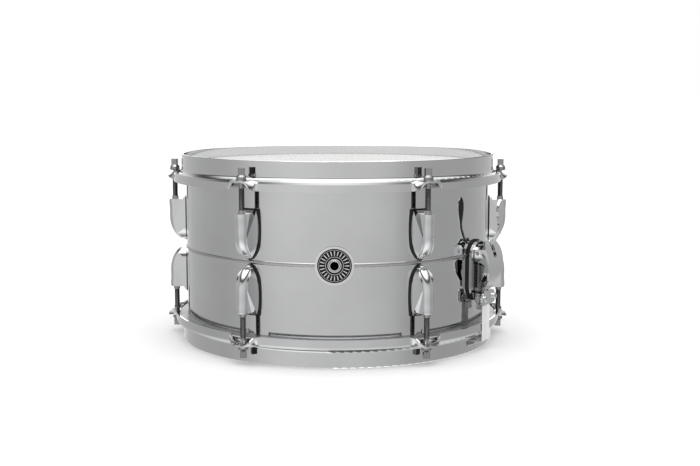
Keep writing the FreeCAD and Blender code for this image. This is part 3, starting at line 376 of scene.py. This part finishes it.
def badge_enamel():
    """Black enamel with a bright rim and hub, and short rays between two thin circles."""
    made, tree, shader = material("badge_enamel", gloss=0.15)
    across, _, height = axes(tree)
    up = math_node(tree, "SUBTRACT", height, MID_HEIGHT)
    square = math_node(tree, "ADD", math_node(tree, "MULTIPLY", across, across),
                       math_node(tree, "MULTIPLY", up, up))
    reach = math_node(tree, "SQRT", square)
    turn = math_node(tree, "ARCTAN2", up, across)

    def band(low, high):
        return math_node(tree, "MULTIPLY", math_node(tree, "GREATER_THAN", reach, low),
                         math_node(tree, "LESS_THAN", reach, high))

    rim = math_node(tree, "GREATER_THAN", reach, RIM_START)
    hub = math_node(tree, "LESS_THAN", reach, HUB_END)
    wave = math_node(tree, "COSINE", math_node(tree, "MULTIPLY", turn, RAYS))
    rays = math_node(tree, "MULTIPLY", math_node(tree, "GREATER_THAN", wave, RAY_EDGE),
                     band(*RAY_BAND))
    circles = math_node(tree, "ADD", *(band(*ends) for ends in CIRCLE_BANDS))
    drawn = math_node(tree, "ADD", math_node(tree, "ADD", rim, hub),
                      math_node(tree, "ADD", rays, circles))
    bright = math_node(tree, "MINIMUM", drawn, 1)
    tinted(tree, shader, BADGE_INK, BADGE_METAL, bright)
    tree.links.new(bright, shader.inputs["Metallic"])
    roughened(tree, shader, bright, INK_ROUGH, RIM_ROUGH, WHOLE)
    return made


MATERIALS = {
    "shell_chrome": shell_chrome(),
    "hoop_chrome": chrome("hoop_chrome", tint=0.77),
    "lug_chrome": chrome("lug_chrome", tint=0.78, rough=0.07),
    "rod_chrome": rod_metal(),
    "strainer_chrome": chrome("strainer_chrome", tint=0.76),
    "vent_chrome": chrome("vent_chrome", tint=0.76),
    "batter_film": film("batter_film", (0.62, 0.62, 0.615), roughness=0.75, pebble=0.10,
                        gloss=0.15),
    "snare_film": film("snare_film", (0.66, 0.66, 0.655), roughness=0.3, pebble=0.03,
                       gloss=0.5),
    "flesh_aluminium": metal("flesh_aluminium", (0.45, 0.45, 0.455), roughness=0.35),
    "gasket_rubber": rubber("gasket_rubber"),
    "insert_brass": metal("insert_brass", (0.42, 0.42, 0.42), roughness=0.2),
    "screw_steel": metal("screw_steel", (0.5, 0.5, 0.5), roughness=0.3),
    "badge_enamel": badge_enamel(),
    "strap_plastic": strip_plastic("strap_plastic"),
    "wire_steel": metal("wire_steel", (0.6, 0.6, 0.6), roughness=0.22),
}

# Some of the strainer's parts differ from the rest of its chrome, mostly by painted shade.
lever_chrome = chrome("strainer_chrome_lever", tint=0.76)
# Painted shade: the lever's side that faces the drum is darkened.
add_painted_shade(lever_chrome, facing_in(lever_chrome.node_tree), tone=0.08, rough=0.1)
# Painted shade: a darker tone for the base, carriage and clamp block, which sit in the recess;
# their plate is also rougher.
cast_painted_shade_chrome = chrome("strainer_chrome_cast_painted_shade", tint=0.40, smooth=0.06, rough=0.14, ripple=0.05)
FINISHES = {
    "tension_knob": knurled("strainer_chrome_knurled"),
    "strainer_lever": lever_chrome,
    "strainer_base": cast_painted_shade_chrome,
    "strainer_carriage": cast_painted_shade_chrome,
    "strainer_clamp_block": cast_painted_shade_chrome,
}
for part in frame["record"]["subparts"]:
    name = part["node"]
    mesh = frame["nodes"][name].data
    mesh.materials.clear()
    mesh.materials.append(FINISHES.get(name, MATERIALS[part["material_slot"]]))


# ------------------------------------------------------------ snare wires, coiled
WIRE_COUNT = 20
WIRE_BED = 0.046                    # first strand to last, and one pitch more
COIL_RADIUS = 0.001
WIRE_THICK = 0.0004
COIL_PITCH = 0.0016
TURN_POINTS = 9
WIRE_SIDES = 5
WIRE_REACH = 0.119                  # half the strands' length


def coil_strand(shape, side, level, reach, start_turn):
    """One helix along X. Its outside is the CAD strand's."""
    count = int(2 * reach / COIL_PITCH * TURN_POINTS)
    centre_line = COIL_RADIUS - WIRE_THICK / 2
    previous = None
    for step in range(count + 1):
        turn = start_turn + math.tau * step / TURN_POINTS
        out = Vector((0, math.cos(turn), math.sin(turn)))
        centre = Vector((-reach + 2 * reach * step / count, side, level)) + out * centre_line
        ring = []
        for index in range(WIRE_SIDES):
            lean = math.tau * index / WIRE_SIDES
            offset = out * math.cos(lean) + Vector((math.sin(lean), 0, 0))
            ring.append(shape.verts.new(centre + offset * WIRE_THICK / 2))
        if previous:
            for index in range(WIRE_SIDES):
                following = (index + 1) % WIRE_SIDES
                shape.faces.new((previous[index], previous[following],
                                 ring[following], ring[index]))
        else:
            shape.faces.new(ring)
        previous = ring
    shape.faces.new(previous[::-1])


def lay_wires():
    """The wires as one piece, side by side across the line from strainer to butt end."""
    low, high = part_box("snare_wires")
    level = (low.z + high.z) / 2
    reach = WIRE_REACH - WIRE_THICK
    shape = bmesh.new()
    for index in range(WIRE_COUNT):
        side = WIRE_BED / WIRE_COUNT * (index - (WIRE_COUNT - 1) / 2)
        coil_strand(shape, side, level, reach, random.uniform(0, math.tau))
    mesh = bpy.data.meshes.new("snare_coils")
    shape.to_mesh(mesh)
    shape.free()
    mesh.transform(Matrix.Rotation(STRAINER_ANGLE - math.pi / 2, 4, "Z"))
    mesh.polygons.foreach_set("use_smooth", [True] * len(mesh.polygons))
    mesh.materials.append(MATERIALS["wire_steel"])
    coils = add_object("snare_coils", mesh)
    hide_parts("snare_wires")
    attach(coils, "snares")


lay_wires()


# ------------------------------------------------------------ floor, light, camera
FLOOR_RADIUS = 12.0
FLOOR_SIDES = 128
FLOOR_TONE = 0.95
FLOOR_ROUGH = 0.9

FILL_BRIGHT = 1.12                  # the world, as matt surfaces are lit by it

# What the chrome sees around it. Each pair is a bearing from the badge in degrees, towards +X,
# and a brightness.
WALLS = ((-180, 1.60), (-171, 1.50), (-163, 0.62), (-140, 0.50), (-98, 0.39), (-72, 0.44),
         (-54, 0.63), (-32, 0.70), (-8, 0.64), (18, 0.61), (40, 0.56), (54, 0.42), (88, 0.365),
         (130, 0.44), (163, 0.55), (171, 1.50), (180, 1.60))
WALL_TOP = 1.6                      # the brightest of them
# Each pair is a height in degrees and a factor on the walls.
HEIGHTS = ((-90, 0.20), (-66, 0.30), (-52, 1.90), (-36, 1.60), (-24, 0.90), (-14, 0.95),
           (-4, 1.05), (12, 1.12), (22, 0.90), (27, 0.12), (35, 0.14), (42, 2.2), (58, 3.8),
           (90, 2.6))
HEIGHT_TOP = 4.0                    # above the largest of them

SOFTBOX_PLACE = (0, -0.25, 1.7)
SOFTBOX_AIM = (0, 0, 0.1)
SOFTBOX_WIDTH, SOFTBOX_DEPTH = 1.3, 0.9
SOFTBOX_WATTS = 6

CAMERA_DISTANCE = 1.194156          # from the drum's axis, level
CAMERA_AZIMUTH = 0.0163             # radians from the badge towards +X
CAMERA_HEIGHT = 0.26237
CAMERA_PITCH = 0.1265               # radians down from level
CAMERA_LENS = 55.86
CAMERA_SENSOR = 36
CAMERA_SHIFT = 0.0181
CAMERA_NEAR = 0.01


def ramp(tree, source, stops):
    """Brightness along a scale of 0 to 1. Each stop is a place and a brightness."""
    made = node(tree, "ShaderNodeValToRGB")
    made.color_ramp.interpolation = "B_SPLINE"
    elements = made.color_ramp.elements
    while len(elements) < len(stops):
        elements.new(0.5)
    for element, (where, bright) in zip(elements, stops):
        element.position = where
        element.color = (bright, bright, bright, 1)
    tree.links.new(source, made.inputs["Fac"])
    return made.outputs["Color"]


def lay_floor():
    """A plain pale disc under the drum."""
    mesh = bpy.data.meshes.new("floor")
    shape = bmesh.new()
    bmesh.ops.create_circle(shape, cap_ends=True, segments=FLOOR_SIDES, radius=FLOOR_RADIUS)
    shape.to_mesh(mesh)
    shape.free()
    made, _, shader = material("floor_paper", gloss=0.0)
    shader.inputs["Base Color"].default_value = (FLOOR_TONE, FLOOR_TONE, FLOOR_TONE, 1)
    shader.inputs["Roughness"].default_value = FLOOR_ROUGH
    mesh.materials.append(made)
    floor = add_object("floor", mesh)
    floor.visible_glossy = False    # the chrome reflects the world's lower heights instead


def hang_softbox():
    """One soft light from above."""
    data = bpy.data.lights.new("top_softbox", "AREA")
    data.shape = "RECTANGLE"
    data.size = SOFTBOX_WIDTH
    data.size_y = SOFTBOX_DEPTH
    data.energy = SOFTBOX_WATTS
    lamp = add_object("top_softbox", data)
    lamp.location = SOFTBOX_PLACE
    aim = Vector(SOFTBOX_AIM) - Vector(SOFTBOX_PLACE)
    lamp.rotation_euler = aim.to_track_quat("-Z", "Y").to_euler()


def light_room():
    """White room light, with grey walls and a bright ceiling for the chrome to reflect."""
    world = bpy.data.worlds.new("studio")
    bpy.context.scene.world = world
    world.use_nodes = True
    tree = world.node_tree
    across, along, up = axes(tree, "Generated")
    bearing = math_node(tree, "ARCTAN2", across, math_node(tree, "MULTIPLY", along, -1))
    height = math_node(tree, "ARCSINE", up)
    walls = ramp(tree, span(tree, bearing, 0, 1, (-math.pi, math.pi)),
                 [(0.5 + degrees / 360, bright / WALL_TOP) for degrees, bright in WALLS])
    heights = ramp(tree, span(tree, height, 0, 1, (-math.pi / 2, math.pi / 2)),
                   [(0.5 + degrees / 180, bright / HEIGHT_TOP) for degrees, bright in HEIGHTS])
    seen = math_node(tree, "MULTIPLY", math_node(tree, "MULTIPLY", walls, heights),
                     WALL_TOP * HEIGHT_TOP)
    ray = node(tree, "ShaderNodeLightPath")
    glossy = math_node(tree, "MULTIPLY", ray.outputs["Is Glossy Ray"], seen)
    fill = math_node(tree, "MULTIPLY", ray.outputs["Is Diffuse Ray"], FILL_BRIGHT)
    total = math_node(tree, "ADD", math_node(tree, "ADD", glossy, fill),
                      ray.outputs["Is Camera Ray"])
    background = tree.nodes["Background"]
    background.inputs["Color"].default_value = (1, 1, 1, 1)
    tree.links.new(total, background.inputs["Strength"])
    bpy.context.scene.view_settings.view_transform = "Standard"


def place_camera():
    data = bpy.data.cameras.new("camera")
    data.lens = CAMERA_LENS
    data.sensor_width = CAMERA_SENSOR
    data.shift_x = CAMERA_SHIFT
    data.clip_start = CAMERA_NEAR
    camera = add_object("camera", data)
    camera.location = (CAMERA_DISTANCE * math.sin(CAMERA_AZIMUTH),
                       -CAMERA_DISTANCE * math.cos(CAMERA_AZIMUTH), CAMERA_HEIGHT)
    camera.rotation_euler = (math.pi / 2 - CAMERA_PITCH, 0, CAMERA_AZIMUTH)
    bpy.context.scene.camera = camera


lay_floor()
light_room()
hang_softbox()
place_camera()
